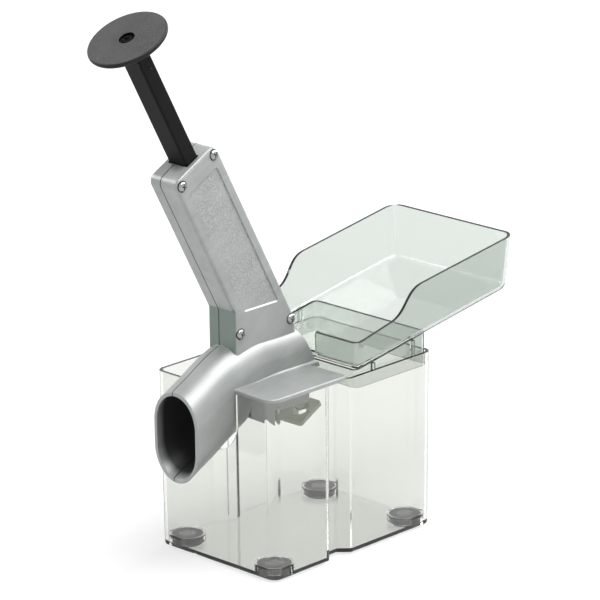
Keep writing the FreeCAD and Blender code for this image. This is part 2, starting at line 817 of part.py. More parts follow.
def make_thumb_plate():
    low = plate_top - plate_thickness
    plate = Part.makeCylinder(plate_radius, plate_thickness, Vector(bar_across, 0, low))
    plate = plate.makeFillet(plate_edge_round,
                             [edge for edge in plate.Edges if edge.Curve.TypeId
                              == "Part::GeomCircle"])
    recess = Part.makeCylinder(plate_recess_radius, plate_recess_depth + over,
                               Vector(bar_across, 0, plate_top - plate_recess_depth))
    hole = Part.makeCylinder(plate_screw_shank + screw_hole_gap, plate_thickness + 2 * over,
                             Vector(bar_across, 0, low - over))
    return plate.cut(recess).cut(hole)


def make_thumb_screw():
    grip = plate_thickness - plate_recess_depth
    length = grip + plate_screw_length - screw_hole_gap
    screw = pan_screw(plate_screw_shank, plate_screw_head, plate_screw_head_height, length,
                      plate_screw_head_height / 2)
    screw.translate(Vector(bar_across, 0, plate_top - plate_recess_depth))
    return screw


def make_cross_pin():
    low = crosshead_low() + cross_pin_rise
    left = tower_left + tower_wall + crosshead_side_gap
    right = tower_right - tower_wall - crosshead_side_gap
    return Part.makeCylinder(cross_pin_radius, right - left, Vector(left, 0, low),
                             Vector(1, 0, 0))


def make_lock_pin():
    half_width = tower_half_depth - tower_wall - crosshead_face_gap
    return Part.makeCylinder(lock_pin_radius, 2 * half_width,
                             Vector(bar_across, -half_width,
                                    crosshead_low() + lock_pin_rise), Vector(0, 1, 0))


def make_pitting_pin():
    top = crosshead_low() + pin_socket_depth
    pin = Part.makeCylinder(pin_radius, top - pin_tip, Vector(bar_across, 0, pin_tip))
    centre = pin_radius + pin_flute_radius - pin_flute_bite
    for index in range(pin_flutes):
        angle = 2 * math.pi * (index + 0.5) / pin_flutes
        flute = Part.makeCylinder(pin_flute_radius, pin_flute_length + over,
                                  Vector(bar_across + centre * math.cos(angle),
                                         centre * math.sin(angle), pin_tip - over))
        pin = pin.cut(flute)
    cup = Part.makeCone(pin_radius - pin_cup / 2, 0, pin_cup, Vector(bar_across, 0, pin_tip))
    lock = Part.makeCylinder(lock_pin_radius, 2 * far,
                             Vector(bar_across, -far, crosshead_low() + lock_pin_rise),
                             Vector(0, 1, 0))
    return pin.cut(cup).cut(lock)


def make_stripper_plate():
    half_length = stripper_half_length
    half_width = tower_half_depth - tower_wall + stripper_groove
    plate = block((bar_across - half_length, bar_across + half_length),
                  (-half_width, half_width),
                  (stripper_low, stripper_low + stripper_thickness))
    hole = Part.makeCylinder(pin_radius + stripper_hole_gap, stripper_thickness + 2 * over,
                             Vector(bar_across, 0, stripper_low - over))
    return plate.cut(hole)


def washer_low():
    return stripper_low + stripper_thickness


def make_spring_washer():
    low = washer_low()
    washer = Part.makeCylinder(washer_radius, washer_thickness, Vector(bar_across, 0, low))
    hole = Part.makeCylinder(pin_radius + washer_hole_gap, 3 * washer_thickness,
                             Vector(bar_across, 0, low - washer_thickness))
    return washer.cut(hole)


def spring_point(turn, low, rise):
    """Point on the wire's centre line after so many turns."""
    angle = 2 * math.pi * turn
    return Vector(bar_across + spring_mean_radius * math.cos(angle),
                  spring_mean_radius * math.sin(angle), low + rise * turn)


def spring_tangent(turn, rise):
    angle = 2 * math.pi * turn
    around = 2 * math.pi * spring_mean_radius
    return Vector(-around * math.sin(angle), around * math.cos(angle), rise).normalize()


def biarc(start, start_way, end, end_way):
    """Two arcs that leave start and reach end along the given directions."""
    chord = end - start
    ways = start_way + end_way
    a = 2 * (1 - start_way.dot(end_way))
    b = 2 * chord.dot(ways)
    c = -chord.dot(chord)
    reach = (-b + math.sqrt(b * b - 4 * a * c)) / (2 * a)
    first = start + start_way * reach
    second = end - end_way * reach
    joint = (first + second) * 0.5
    arcs = []
    for low, corner, high in ((start, first, joint), (joint, second, end)):
        base = (low + high) * 0.5
        out = corner - base
        half = (high - low).Length / 2
        angle = math.atan2(out.Length, half)
        bow = out.normalize() * (half * math.tan(angle / 2))
        arcs.append(Part.Arc(low, base + bow, high).toShape())
    return arcs


def make_return_spring():
    """Compression spring: one wire wound in even turns between washer and crosshead."""
    low = washer_low() + washer_thickness + spring_seat_gap + spring_wire / 2
    high = crosshead_low() - spring_seat_gap - spring_wire / 2
    rise = (high - low) / spring_turns
    arcs = []
    pairs = spring_arcs_per_turn // 2
    for index in range(spring_turns * pairs):
        start = index / pairs
        end = (index + 1) / pairs
        arcs += biarc(spring_point(start, low, rise), spring_tangent(start, rise),
                      spring_point(end, low, rise), spring_tangent(end, rise))
    path = Part.Wire(arcs)
    circle = Part.Circle(spring_point(0, low, rise), spring_tangent(0, rise), spring_wire / 2)
    section = Part.Wire([circle.toShape()])
    spring = path.makePipeShell([section], True, False)
    length = spring_turns * math.hypot(2 * math.pi * spring_mean_radius, rise)
    samples = spring_gap_samples
    centres = [spring_point(index / samples, low, rise) for index in range(2 * samples)]
    gap = min((a - b).Length for i, a in enumerate(centres)
              for b in centres[i + samples // 2:]) - spring_wire
    print("spring: least gap to itself %.2f mm, wire %.0f mm long, volume ratio %.3f"
          % (gap, length, spring.Volume / (math.pi * spring_wire ** 2 / 4 * length)))
    return spring


def tray_outline(inset, z):
    """Level section of the tray's walls, which lean out as they rise."""
    rise = z - tray_low_z
    side = tray_half_width + rise * math.tan(math.radians(tray_side_draft)) - inset
    start = tray_start_x - rise * math.tan(math.radians(tray_start_draft)) + inset
    end = tray_end_x + rise * math.tan(math.radians(tray_end_draft)) - inset
    end -= (tray_end_x - tray_start_x) * math.tan(math.radians(tray_slope)) * math.tan(
        math.radians(tray_end_draft))
    points = [(start, -side), (end, -side), (end, side), (start, side)]
    radii = [tray_start_corner - inset, tray_end_corner - inset,
             tray_end_corner - inset, tray_start_corner - inset]
    return level_outline(points, radii, z)


def tray_floor_z(x):
    """Height of the tray's underside at a given X."""
    return tray_low_z + (x - tray_start_x) * math.tan(math.radians(tray_slope))


def tray_tub(inset, lift):
    """Solid between the tray's walls, above its sloping floor raised by lift."""
    low = tray_low_z - 2 * over
    high = tray_low_z + far / 3
    tub = Part.makeLoft([tray_outline(inset, low), tray_outline(inset, high)], True, True)
    raise_by = lift / math.cos(math.radians(tray_slope))
    x_low = tray_start_x - over
    x_high = tray_end_x + 2 * over
    wedge = side_prism([(x_low, tray_floor_z(x_low) + raise_by), (x_low, low - over),
                        (x_high, low - over), (x_high, tray_floor_z(x_high) + raise_by)],
                       [0] * 4, -far / 2, far / 2)
    tub = tub.cut(wedge)
    on_floor = lambda p: abs(p.z - tray_floor_z(p.x) - raise_by) < 1e-2
    return tub.makeFillet(tray_base_round - inset, edges_where(tub, on_floor))


def tray_rim():
    """Everything above the tray's rim line: low, then an S-curve, then high."""
    low_slope = math.tan(math.radians(tray_low_rim_slope))
    high_slope = math.tan(math.radians(tray_high_rim_slope))
    start = Vector(tray_start_x - over, 0,
                   tray_low_rim_z - over * low_slope)
    step_start = Vector(tray_step_start_x, 0,
                        tray_low_rim_z + (tray_step_start_x - tray_start_x) * low_slope)
    step_end = Vector(tray_step_end_x, 0, step_start.z + tray_step_rise)
    end_x = tray_end_x + 4 * over
    end = Vector(end_x, 0, step_end.z + (end_x - tray_step_end_x) * high_slope)
    hold = (tray_step_end_x - tray_step_start_x) * tray_step_hold
    curve = Part.BezierCurve()
    curve.setPoles([step_start, step_start + Vector(hold, 0, hold * low_slope),
                    step_end - Vector(hold, 0, hold * high_slope), step_end])
    roof = Vector(0, 0, far / 2)
    edges = [Part.LineSegment(start, step_start).toShape(), curve.toShape(),
             Part.LineSegment(step_end, end).toShape(),
             Part.LineSegment(end, end + roof).toShape(),
             Part.LineSegment(end + roof, start + roof).toShape(),
             Part.LineSegment(start + roof, start).toShape()]
    face = Part.Face(Part.Wire(edges))
    face.translate(Vector(0, -far / 2, 0))
    return face.extrude(Vector(0, far, 0))


def make_tray():
    inner = tray_tub(tray_wall, tray_floor)
    tray = tray_tub(0, 0).cut(inner)
    tray = tray.cut(tray_rim())
    gate_floor = tray_floor_z(tray_start_x) + tray_floor
    gate = block((tray_start_x - over, tray_start_x + tray_wall + over),
                 (-tray_gate_half_width, tray_gate_half_width), (gate_floor, far))
    tray = tray.cut(gate)
    half_width = container_width / 2 - container_wall - skirt_gap
    low = container_height - skirt_depth
    high = tray_floor_z(tray_start_x + skirt_length) + tray_floor
    walls = []
    for inset in (0, skirt_wall):
        x_low = tray_start_x + inset
        x_high = tray_start_x + skirt_length - inset
        side = half_width - inset
        points = [(x_low, -side), (x_high, -side), (x_high, side), (x_low, side)]
        wire = level_outline(points, [skirt_corner - inset] * 4, low)
        walls.append(Part.Face(wire).extrude(Vector(0, 0, high - low)))
    skirt = walls[0].cut(walls[1])
    lug_reach = container_width / 2 - skirt_gap
    for x in lug_places:
        for side in (-1, 1):
            y_range = sorted((side * (half_width - lug_cover), side * lug_reach))
            skirt = skirt.fuse(block((tray_start_x + x, tray_start_x + x + lug_width),
                                     y_range, (container_height, high)))
    x_low = tray_start_x - over
    x_high = tray_start_x + skirt_length + over
    half_floor = tray_floor / 2
    above = side_prism([(x_low, tray_floor_z(x_low) + half_floor),
                        (x_high, tray_floor_z(x_high) + half_floor),
                        (x_high, far), (x_low, far)], [0] * 4, -far / 2, far / 2)
    skirt = skirt.cut(above).cut(inner)
    return tray.fuse(skirt).removeSplitter()


def footprint_middle():
    """X halfway between the thumb plate's far edge and the tray's high end."""
    plate_edge = head_point(bar_across - plate_radius, plate_top).x
    high_slope = math.tan(math.radians(tray_high_rim_slope))
    low_slope = math.tan(math.radians(tray_low_rim_slope))
    step_z = tray_low_rim_z + (tray_step_start_x - tray_start_x) * low_slope
    rim_z = step_z + tray_step_rise + (tray_end_x - tray_step_end_x) * high_slope
    lean_out = math.tan(math.radians(tray_end_draft))
    tray_edge = tray_end_x + (rim_z - tray_floor_z(tray_end_x)) * lean_out
    return (plate_edge + tray_edge) / 2


housing_front, housing_rear = make_housing()

pieces = {
    "container": make_container(),
    "housing_front": housing_front,
    "housing_rear": housing_rear,
    "housing_screws": make_housing_screws(),
    "seat_insert": tilt(make_seat()),
    "seat_clamp": tilt(make_seat_clamp()),
    "seat_screws": tilt(make_seat_screws()),
    "stripper_plate": tilt(make_stripper_plate()),
    "spring_washer": tilt(make_spring_washer()),
    "return_spring": tilt(make_return_spring()),
    "thumb_plate": tilt(make_thumb_plate()),
    "thumb_screw": tilt(make_thumb_screw()),
    "plunger_bar": tilt(make_bar()),
    "crosshead": tilt(make_crosshead()),
    "cross_pin": tilt(make_cross_pin()),
    "pitting_pin": tilt(make_pitting_pin()),
    "lock_pin": tilt(make_lock_pin()),
    "cherry_tray": make_tray(),
}
for name, place in foot_places().items():
    pieces["foot_" + name] = make_foot(place)

shift = Vector(-footprint_middle(), 0, foot_standout)
for name, shape in pieces.items():
    placed = shape.copy()
    placed.translate(shift)
    placed.exportStep("parts/%s.step" % name)
    box = placed.BoundBox
    print("%-16s solids %d valid %s volume %.0f  x %.1f..%.1f y %.1f..%.1f z %.1f..%.1f"
          % (name, len(placed.Solids), placed.isValid(), placed.Volume, box.XMin, box.XMax,
             box.YMin, box.YMax, box.ZMin, box.ZMax))
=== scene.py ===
# %% [markdown]
# # A plunger cherry stoner
# Two cast halves hold a black plunger over a small seat, beside a clear tray
# and on top of a clear box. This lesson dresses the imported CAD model. The
# solids stay where the drawing puts them, and the work goes into light,
# surface, edges, and the small turned and wound parts.

# %% Load the frame
import math

import bmesh
import bpy
from mathutils import Matrix, Vector


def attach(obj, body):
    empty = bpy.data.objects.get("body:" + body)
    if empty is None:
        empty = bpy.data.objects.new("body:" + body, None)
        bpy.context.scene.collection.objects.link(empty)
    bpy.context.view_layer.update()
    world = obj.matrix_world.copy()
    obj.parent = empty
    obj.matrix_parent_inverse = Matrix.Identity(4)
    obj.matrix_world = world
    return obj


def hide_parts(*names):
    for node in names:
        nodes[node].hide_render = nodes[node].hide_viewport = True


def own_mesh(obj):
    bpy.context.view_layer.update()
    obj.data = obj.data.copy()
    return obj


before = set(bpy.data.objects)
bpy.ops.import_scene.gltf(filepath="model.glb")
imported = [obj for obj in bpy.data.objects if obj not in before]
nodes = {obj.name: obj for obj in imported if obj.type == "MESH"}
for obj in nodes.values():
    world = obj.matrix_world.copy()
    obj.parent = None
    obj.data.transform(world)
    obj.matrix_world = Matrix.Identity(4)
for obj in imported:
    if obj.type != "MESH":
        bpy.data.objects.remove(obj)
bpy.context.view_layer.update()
print(len(nodes), "pieces come with the frame")

# %% Object helper
scene = bpy.context.scene


def linked(name, data):
    """A new object that carries the data and stands in the scene."""
    thing = bpy.data.objects.new(name, data)
    scene.collection.objects.link(thing)
    return thing


print("object helper ready")

# %% [markdown]
# ## Camera
# The product is seen from its front left, a little above the tray, with a
# long lens: the box's edges stay almost parallel. A long lens far away could
# be guessed by eye, but the numbers below come from matching the box's eight
# corners and the plunger's disc, so every edge lands where it should.

# %% Camera
VIEW_AZIMUTH = math.radians(-45.647)
VIEW_HEIGHT = math.radians(17.586)
VIEW_ROLL = math.radians(-0.67)
VIEW_DISTANCE = 2.2389
AIM_RIGHT = 0.003223
AIM_UP = 0.130338
FRAME_SHIFT = Vector((0.004942, 0.0, 0.0014))
LENS = 239.06
SENSOR = 36.0
FAR_CLIP = 20.0


def make_camera():
    back = Vector((
        math.sin(VIEW_AZIMUTH) * math.cos(VIEW_HEIGHT),
        -math.cos(VIEW_AZIMUTH) * math.cos(VIEW_HEIGHT),
        math.sin(VIEW_HEIGHT),
    ))
    level_right = Vector((math.cos(VIEW_AZIMUTH), math.sin(VIEW_AZIMUTH), 0.0))
    level_up = back.cross(level_right)
    cos_roll = math.cos(VIEW_ROLL)
    sin_roll = math.sin(VIEW_ROLL)
    right = level_right * cos_roll + level_up * sin_roll
    up = level_up * cos_roll - level_right * sin_roll
    place = FRAME_SHIFT + level_right * AIM_RIGHT + level_up * AIM_UP + back * VIEW_DISTANCE
    data = bpy.data.cameras.new("product_camera")
    data.lens = LENS
    data.sensor_width = SENSOR
    data.clip_end = FAR_CLIP
    camera = linked("product_camera", data)
    turn = Matrix((right, up, back)).transposed().to_4x4()
    camera.matrix_world = Matrix.Translation(place) @ turn
    scene.camera = camera
    return camera


camera = make_camera()
print("camera stands", round(camera.location.length, 2), "m away")

# %% [markdown]
# ## Light and floor
# The product stands in a plain studio on white. The world gives an even fill,
# and shows itself as white to the camera, to reflections and through the clear
# plastic. The key lamp stands high in front, so the faces on the left go dark
# and a second one high on the right lays a bright band along the chamber.

# %% World
scene.view_settings.view_transform = "Standard"
WORLD_FILL = 0.22


def seen_directly(tree):
    """One for camera, glass and mirror rays, and zero for the light on surfaces."""
    path = tree.nodes.new("ShaderNodeLightPath")
    first = tree.nodes.new("ShaderNodeMath")
    first.operation = "MAXIMUM"
    second = tree.nodes.new("ShaderNodeMath")
    second.operation = "MAXIMUM"
    tree.links.new(path.outputs["Is Camera Ray"], first.inputs[0])
    tree.links.new(path.outputs["Is Transmission Ray"], first.inputs[1])
    tree.links.new(first.outputs[0], second.inputs[0])
    tree.links.new(path.outputs["Is Glossy Ray"], second.inputs[1])
    return second.outputs[0]


def lit_world(fill):
    world = bpy.data.worlds.new("studio_white")
    world.use_nodes = True
    tree = world.node_tree
    tree.nodes.clear()
    out = tree.nodes.new("ShaderNodeOutputWorld")
    light = tree.nodes.new("ShaderNodeBackground")
    light.inputs["Strength"].default_value = fill
    white = tree.nodes.new("ShaderNodeBackground")
    for shade in (light, white):
        shade.inputs["Color"].default_value = (1.0, 1.0, 1.0, 1.0)
    mix = tree.nodes.new("ShaderNodeMixShader")
    tree.links.new(seen_directly(tree), mix.inputs[0])
    tree.links.new(light.outputs[0], mix.inputs[1])
    tree.links.new(white.outputs[0], mix.inputs[2])
    tree.links.new(mix.outputs[0], out.inputs["Surface"])
    scene.world = world


lit_world(WORLD_FILL)
print("world fill", WORLD_FILL)

# %% Lamps
MIDDLE = Vector((0.0, 0.0, 0.13))
LAMPS = (
    ("key_front_high", (0.0, -0.5, 1.4), (1.2, 0.8), 22.0),
    ("band_right_high", (0.95, -0.45, 1.05), (0.9, 0.4), 9.0),
    ("side_right", (1.2, 0.3, 0.6), (0.5, 0.8), 5.0),
    ("rim_back", (-0.5, 1.2, 0.8), (0.8, 0.4), 8.0),
)


def soft_lamp(name, place, size, watts):
    data = bpy.data.lights.new(name, "AREA")
    data.shape = "RECTANGLE"
    data.size = size[0]
    data.size_y = size[1]
    data.energy = watts
    lamp = linked(name, data)
    lamp.location = place
    lamp.rotation_euler = (MIDDLE - Vector(place)).to_track_quat("-Z", "Y").to_euler()


for name, place, size, watts in LAMPS:
    soft_lamp(name, place, size, watts)
print(len(LAMPS), "soft lamps")

# %% Floor
FLOOR_HALF = 4.0
FLOOR_LIT = (0.9, 0.9, 0.9, 1.0)
FLOOR_SEEN = (0.36, 0.36, 0.36, 1.0)
FADE_NEAR = 0.25
FADE_FAR = 1.6
LIFT_NEAR = 0.66
LIFT_FAR = 0.95


def floor_material():
    material = bpy.data.materials.new("studio_floor")
    material.use_nodes = True
    tree = material.node_tree
    skin = tree.nodes["Principled BSDF"]
    skin.inputs["Roughness"].default_value = 0.9
    skin.inputs["Specular IOR Level"].default_value = 0.0
    seen = seen_directly(tree)
    paint = tree.nodes.new("ShaderNodeMix")
    paint.data_type = "RGBA"
    paint.inputs[6].default_value = FLOOR_LIT
    paint.inputs[7].default_value = FLOOR_SEEN
    tree.links.new(seen, paint.inputs["Factor"])
    tree.links.new(paint.outputs[2], skin.inputs["Base Color"])
    where = tree.nodes.new("ShaderNodeTexCoord")
    reach = tree.nodes.new("ShaderNodeVectorMath")
    reach.operation = "LENGTH"
    tree.links.new(where.outputs["Object"], reach.inputs[0])
    fade = tree.nodes.new("ShaderNodeMapRange")
    fade.inputs["From Min"].default_value = FADE_NEAR
    fade.inputs["From Max"].default_value = FADE_FAR
    fade.inputs["To Min"].default_value = LIFT_NEAR
    fade.inputs["To Max"].default_value = LIFT_FAR
    tree.links.new(reach.outputs["Value"], fade.inputs["Value"])
    lift = tree.nodes.new("ShaderNodeMath")
    lift.operation = "MULTIPLY"
    tree.links.new(seen, lift.inputs[0])
    tree.links.new(fade.outputs["Result"], lift.inputs[1])
    skin.inputs["Emission Color"].default_value = (1.0, 1.0, 1.0, 1.0)
    tree.links.new(lift.outputs[0], skin.inputs["Emission Strength"])
    return material


def make_floor():
    mesh = bpy.data.meshes.new("floor")
    half = FLOOR_HALF
    corners = [(-half, -half, 0.0), (half, -half, 0.0), (half, half, 0.0), (-half, half, 0.0)]
    mesh.from_pydata(corners, [], [(0, 1, 2, 3)])
    mesh.materials.append(floor_material())
    linked("floor", mesh)


make_floor()
print("floor at height 0")

# %% [markdown]
# ## Shared surface effects
# Real castings and mouldings are never one even colour. An image could carry
# that, but node groups work at any scale and from any side. Each group gives
# masks or heights only, so every material keeps its own shader.

# %% Group helper
def new_group(name, inputs, outputs):
    tree = bpy.data.node_groups.new(name, "ShaderNodeTree")
    for label, kind, value in inputs:
        socket = tree.interface.new_socket(label, in_out="INPUT", socket_type=kind)
        if value is not None:
            socket.default_value = value
    for label, kind in outputs:
        tree.interface.new_socket(label, in_out="OUTPUT", socket_type=kind)
    return tree, tree.nodes.new("NodeGroupInput"), tree.nodes.new("NodeGroupOutput")


def maths(tree, operation, *values):
    """A maths node; each value is a number or another node's output."""
    node = tree.nodes.new("ShaderNodeMath")
    node.operation = operation
    for index, value in enumerate(values):
        if isinstance(value, (int, float)):
            node.inputs[index].default_value = value
        else:
            tree.links.new(value, node.inputs[index])
    return node.outputs[0]


def held(tree, value):
    """The value, kept between zero and one."""
    return maths(tree, "MAXIMUM", maths(tree, "MINIMUM", value, 1.0), 0.0)


def vector_pair(tree, operation, first, second):
    """The number from two vectors, where the second may be a plain one."""
    node = tree.nodes.new("ShaderNodeVectorMath")
    node.operation = operation
    tree.links.new(first, node.inputs[0])
    if isinstance(second, bpy.types.NodeSocket):
        tree.links.new(second, node.inputs[1])
    else:
        node.inputs[1].default_value = second
    return node.outputs["Value"]


print("helpers ready")

# %% Grain and cloud
def speckle_group():
    tree, given, out = new_group(
        "fine_speckle",
        [
            ("Place", "NodeSocketVector", None),
            ("Grain size", "NodeSocketFloat", 900.0),
            ("Cloud size", "NodeSocketFloat", 60.0),
        ],
        [("Height", "NodeSocketFloat"), ("Cloud", "NodeSocketFloat")],
    )
    for label, detail, result in (("Grain size", 3.0, "Height"), ("Cloud size", 2.0, "Cloud")):
        noise = tree.nodes.new("ShaderNodeTexNoise")
        noise.inputs["Detail"].default_value = detail
        tree.links.new(given.outputs["Place"], noise.inputs["Vector"])
        tree.links.new(given.outputs[label], noise.inputs["Scale"])
        tree.links.new(noise.outputs["Fac"], out.inputs[result])
    return tree


SPECKLE = speckle_group()
print("group", SPECKLE.name)

# %% Streaks along one way
def streak_group():
    """Fine lines drawn out along an axis, as left by blasting and rubbing."""
    tree, given, out = new_group(
        "drawn_streaks",
        [
            ("Place", "NodeSocketVector", None),
            ("Turn", "NodeSocketVector", None),
            ("Stretch", "NodeSocketVector", None),
        ],
        [("Streak", "NodeSocketFloat")],
    )
    turn = tree.nodes.new("ShaderNodeMapping")
    turn.vector_type = "TEXTURE"
    tree.links.new(given.outputs["Place"], turn.inputs["Vector"])
    tree.links.new(given.outputs["Turn"], turn.inputs["Rotation"])
    scale = tree.nodes.new("ShaderNodeVectorMath")
    scale.operation = "MULTIPLY"
    tree.links.new(turn.outputs[0], scale.inputs[0])
    tree.links.new(given.outputs["Stretch"], scale.inputs[1])
    noise = tree.nodes.new("ShaderNodeTexNoise")
    noise.inputs["Scale"].default_value = 1.0
    noise.inputs["Detail"].default_value = 4.0
    tree.links.new(scale.outputs[0], noise.inputs["Vector"])
    tree.links.new(noise.outputs["Fac"], out.inputs["Streak"])
    return tree


STREAKS = streak_group()
print("group", STREAKS.name)

# %% Masks by place
def slab_group():
    """One within a slab along an axis, with soft sides."""
    tree, given, out = new_group(
        "soft_slab",
        [
            ("Place", "NodeSocketVector", None),
            ("Way", "NodeSocketVector", None),
            ("Middle", "NodeSocketFloat", 0.0),
            ("Half", "NodeSocketFloat", 0.001),
            ("Soft", "NodeSocketFloat", 0.0002),
        ],
        [("Mask", "NodeSocketFloat")],
    )
    along = vector_pair(tree, "DOT_PRODUCT", given.outputs["Place"], given.outputs["Way"])
    offset = maths(tree, "SUBTRACT", along, given.outputs["Middle"])
    away = maths(tree, "ABSOLUTE", offset)
    over = maths(tree, "SUBTRACT", given.outputs["Half"], away)
    edge = maths(tree, "DIVIDE", over, given.outputs["Soft"])
    tree.links.new(held(tree, maths(tree, "ADD", edge, 0.5)), out.inputs["Mask"])
    return tree


SLAB = slab_group()
print("group", SLAB.name)

# %% [markdown]
# ## Finishes
# A finish starts from a plain Principled shader. Colours that vary come from
# the groups through a ramp, and fine relief goes through a Bump node. Where a
# casting's edge is broken by tumbling, the Bevel node rounds it in the shading.

# %% Material helpers
WAY_X = (1.0, 0.0, 0.0)
WAY_Y = (0.0, 1.0, 0.0)
WAY_Z = (0.0, 0.0, 1.0)
HEAD_LEAN = math.radians(28.0)
BEVEL_SAMPLES = 6
HEAD_ALONG = Vector((-math.sin(HEAD_LEAN), 0.0, math.cos(HEAD_LEAN)))
HEAD_ACROSS = Vector((math.cos(HEAD_LEAN), 0.0, math.sin(HEAD_LEAN)))


def start_material(name, colour, roughness, metallic=0.0):
    material = bpy.data.materials.new(name)
    material.use_nodes = True
    tree = material.node_tree
    skin = tree.nodes["Principled BSDF"]
    skin.inputs["Base Color"].default_value = (*colour, 1.0)
    skin.inputs["Roughness"].default_value = roughness
    skin.inputs["Metallic"].default_value = metallic
    where = tree.nodes.new("ShaderNodeTexCoord")
    return material, tree, skin, where.outputs["Object"]


def add_speckle(tree, place, grain_size, cloud_size):
    node = tree.nodes.new("ShaderNodeGroup")
    node.node_tree = SPECKLE
    node.inputs["Grain size"].default_value = grain_size
    node.inputs["Cloud size"].default_value = cloud_size
    tree.links.new(place, node.inputs["Place"])
    return node.outputs["Height"], node.outputs["Cloud"]


def add_slab(tree, place, way, sides, soft):
    low, high = sides
    node = tree.nodes.new("ShaderNodeGroup")
    node.node_tree = SLAB
    node.inputs["Way"].default_value = way
    node.inputs["Middle"].default_value = (low + high) / 2
    node.inputs["Half"].default_value = (high - low) / 2
    node.inputs["Soft"].default_value = soft
    tree.links.new(place, node.inputs["Place"])
    return node.outputs["Mask"]


def ramp_between(tree, mask, low, high, ends=(0.35, 0.65)):
    ramp = tree.nodes.new("ShaderNodeValToRGB")
    ramp.color_ramp.elements[0].position = ends[0]
    ramp.color_ramp.elements[1].position = ends[1]
    ramp.color_ramp.elements[0].color = (*low, 1.0)
    ramp.color_ramp.elements[1].color = (*high, 1.0)
    tree.links.new(mask, ramp.inputs["Fac"])
    return ramp.outputs["Color"]


def shade_over(tree, mask, under, colour):
    """The colour laid over what is under it, as far as the mask says."""
    mix = tree.nodes.new("ShaderNodeMix")
    mix.data_type = "RGBA"
    tree.links.new(mask, mix.inputs["Factor"])
    tree.links.new(under, mix.inputs[6])
    mix.inputs[7].default_value = (*colour, 1.0)
    return mix.outputs[2]


def add_bump(tree, skin, height, distance, edge_radius=0.0):
    bump = tree.nodes.new("ShaderNodeBump")
    bump.inputs["Strength"].default_value = 1.0
    bump.inputs["Distance"].default_value = distance
    tree.links.new(height, bump.inputs["Height"])
    if edge_radius:
        bevel = tree.nodes.new("ShaderNodeBevel")
        bevel.samples = BEVEL_SAMPLES
        bevel.inputs["Radius"].default_value = edge_radius
        tree.links.new(bevel.outputs["Normal"], bump.inputs["Normal"])
    tree.links.new(bump.outputs["Normal"], skin.inputs["Normal"])


print("material helpers ready")

# %% [markdown]
# ### Cast aluminium
# The head is pressure cast in two halves and lightly blasted: a satin grey
# with a fine grain, a coarser stipple inside the long panel, and a dark hairline
# where the halves meet. Painted shade darkens the bore, a thin ring round each
# screw head and the tower's lower left face, and a painted highlight lies along
# the sunk panel's lower ledge. One material carries all of it, with each effect
# placed by the part's own coordinates.

# %% Cast aluminium
SEAM = 0.00215
CASTING_GREY = (0.31, 0.325, 0.318)
CASTING_PALE = (0.365, 0.379, 0.372)
SEAM_AND_RING_SHADE = (0.02, 0.022, 0.02)
STIPPLE_PALE = (0.405, 0.418, 0.412)
SILL_PAINTED_HIGHLIGHT = (0.85, 0.87, 0.86)
BORE_PAINTED_SHADE = (0.045, 0.045, 0.045)
CASTING_WORN = (0.26, 0.272, 0.268)
FOOT_PAINTED_SHADE = (0.19, 0.23, 0.21)
CHUTE_LOW = 0.0915
CHUTE_HIGH = 0.137
CHUTE_HALF = 0.0167
BORE_GAP = 0.00114
BORE_SOFT = 0.0003
BORE_DEPTH = (-0.0838, -0.06)
SILL_RISE = (0.1452, 0.1459)
SILL_ACROSS = (0.0248, 0.0462)
SILL_FRONT = (-0.0111, -0.0099)
PANEL_FRONT = (-0.0104, -0.0101)
PANEL_RISE = (0.1465, 0.26)
FOOT_SIDE = (-0.0521, -0.0507)
FOOT_RISE = (0.114, 0.151)
FOOT_UPRIGHT = 0.6
SEAM_HALF = 0.00028
SCREW_SHADE_RING = 0.00045
SCREW_SOFT = 0.0002
SCREW_AXES = ((-0.08915, 0.22523), (-0.06549, 0.23781), (-0.04766, 0.1334), (-0.009, 0.13307))
SCREW_FACE = -0.01085
SCREW_HEAD = 0.0028


def bore_painted_shade_mask(tree, place):
    """One inside the chute's oval bore, and zero on its outside."""
    middle = (CHUTE_LOW + CHUTE_HIGH) / 2 + FRAME_SHIFT.dot(HEAD_ALONG)
    straight = (CHUTE_HIGH - CHUTE_LOW) / 2 - CHUTE_HALF
    along = vector_pair(tree, "DOT_PRODUCT", place, HEAD_ALONG)
    apart = tree.nodes.new("ShaderNodeSeparateXYZ")
    tree.links.new(place, apart.inputs[0])
    offset = maths(tree, "SUBTRACT", along, middle)
    past = maths(tree, "SUBTRACT", maths(tree, "ABSOLUTE", offset), straight)
    tall = maths(tree, "MAXIMUM", past, 0.0)
    squares = maths(tree, "ADD", maths(tree, "MULTIPLY", tall, tall),
                       maths(tree, "MULTIPLY", apart.outputs["Y"], apart.outputs["Y"]))
    away = maths(tree, "SQRT", squares)
    room = maths(tree, "SUBTRACT", CHUTE_HALF - BORE_GAP, away)
    inside = held(tree, maths(tree, "DIVIDE", room, BORE_SOFT))
    return maths(tree, "MULTIPLY", inside, add_slab(tree, place, WAY_X, BORE_DEPTH, 0.004))


def sill_highlight_mask(tree, place):
    """One on the lower ledge of the sunk panel, where a highlight is painted."""
    shift = FRAME_SHIFT.dot(HEAD_ACROSS)
    level = add_slab(tree, place, WAY_Z, SILL_RISE, 0.0002)
    wide = add_slab(tree, place, HEAD_ACROSS, [edge + shift for edge in SILL_ACROSS], 0.0006)
    front = add_slab(tree, place, WAY_Y, SILL_FRONT, 0.0001)
    return maths(tree, "MULTIPLY", maths(tree, "MULTIPLY", level, wide), front)


def screw_ring_shade_mask(tree, place):
    """One in a thin ring round each screw's head on the front face, where shade is painted."""
    nearest = 1.0
    for across, high in SCREW_AXES:
        away = vector_pair(tree, "DISTANCE", place, (across, SCREW_FACE, high))
        nearest = maths(tree, "MINIMUM", away, nearest)
    over = maths(tree, "SUBTRACT", SCREW_HEAD + SCREW_SHADE_RING, nearest)
    return held(tree, maths(tree, "DIVIDE", over, SCREW_SOFT))


